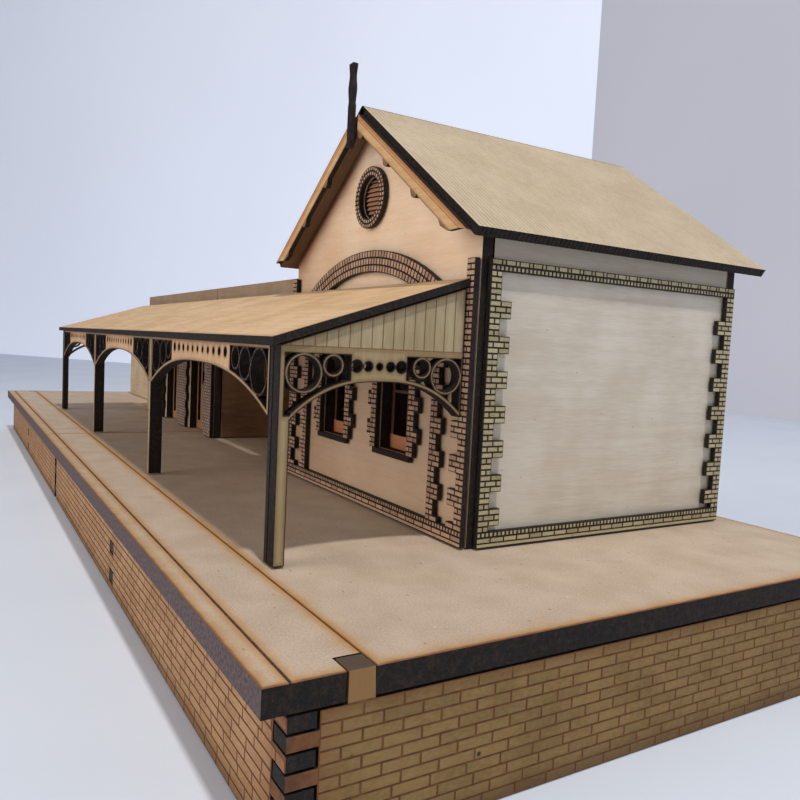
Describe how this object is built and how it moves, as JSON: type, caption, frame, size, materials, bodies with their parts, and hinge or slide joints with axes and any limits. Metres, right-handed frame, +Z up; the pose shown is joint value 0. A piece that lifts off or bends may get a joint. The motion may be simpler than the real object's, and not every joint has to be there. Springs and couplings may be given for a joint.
{
  "type": "model railway station",
  "caption": "Laser-cut wooden model railway station: gabled wing, low block, porch and arched verandah on a brick-faced platform.",
  "frame": {"origin": "centre of the bounding box's underside, on the surface that the platform stands on", "axes": "+X along the platform towards the gabled wing's end, -Y towards the track edge, +Z up"},
  "size_m": [0.341, 0.109, 0.0997],
  "materials": {
    "mdf": "matt, scorched at its edges",
    "brick_mdf": "matt, engraved with brick courses",
    "ply": "matt, fine grain",
    "overlay": "matt, engraved brick with charred edges",
    "roof_ply": "matt, engraved with fine lines",
    "gold_ply": "matt, golden grain",
    "char": "matt black char"
  },
  "bodies": {
    "root": {"coping_near": "mdf", "coping_far": "mdf", "top_near": "mdf", "top_far": "mdf", "track_wall_near": "brick_mdf", "track_wall_far": "brick_mdf", "rear_wall_near": "brick_mdf", "rear_wall_far": "brick_mdf", "end_wall_near": "brick_mdf", "end_wall_far": "brick_mdf", "rib_1": "mdf", "rib_2": "mdf", "rib_3": "mdf", "gable_front": "ply", "gable_rear": "ply", "side_wall_near": "ply", "side_wall_inner": "ply", "side_overlay": "overlay", "front_overlay": "overlay", "surround_near": "overlay", "surround_far": "overlay", "sash_near": "ply", "sash_far": "ply", "vent_ring": "overlay", "vent_louvre": "ply", "roof_near": "roof_ply", "roof_far": "roof_ply", "barge_near": "ply", "barge_far": "ply", "finial": "char", "verandah_roof": "gold_ply", "post_1": "char", "post_2": "char", "post_3": "char", "post_4": "char", "screen_1": "gold_ply", "screen_2": "gold_ply", "screen_3": "gold_ply", "end_screen_near": "gold_ply", "end_screen_far": "gold_ply", "block_front": "ply", "porch_fascia": "ply", "porch_back": "ply", "block_side": "ply", "block_end": "ply", "block_rear": "ply", "block_roof": "roof_ply", "door_1": "ply", "door_2": "ply", "porch_door": "ply", "block_overlay": "overlay", "far_front": "ply", "far_rear": "ply", "far_end": "ply", "far_roof": "roof_ply"}
  },
  "joints": []
}
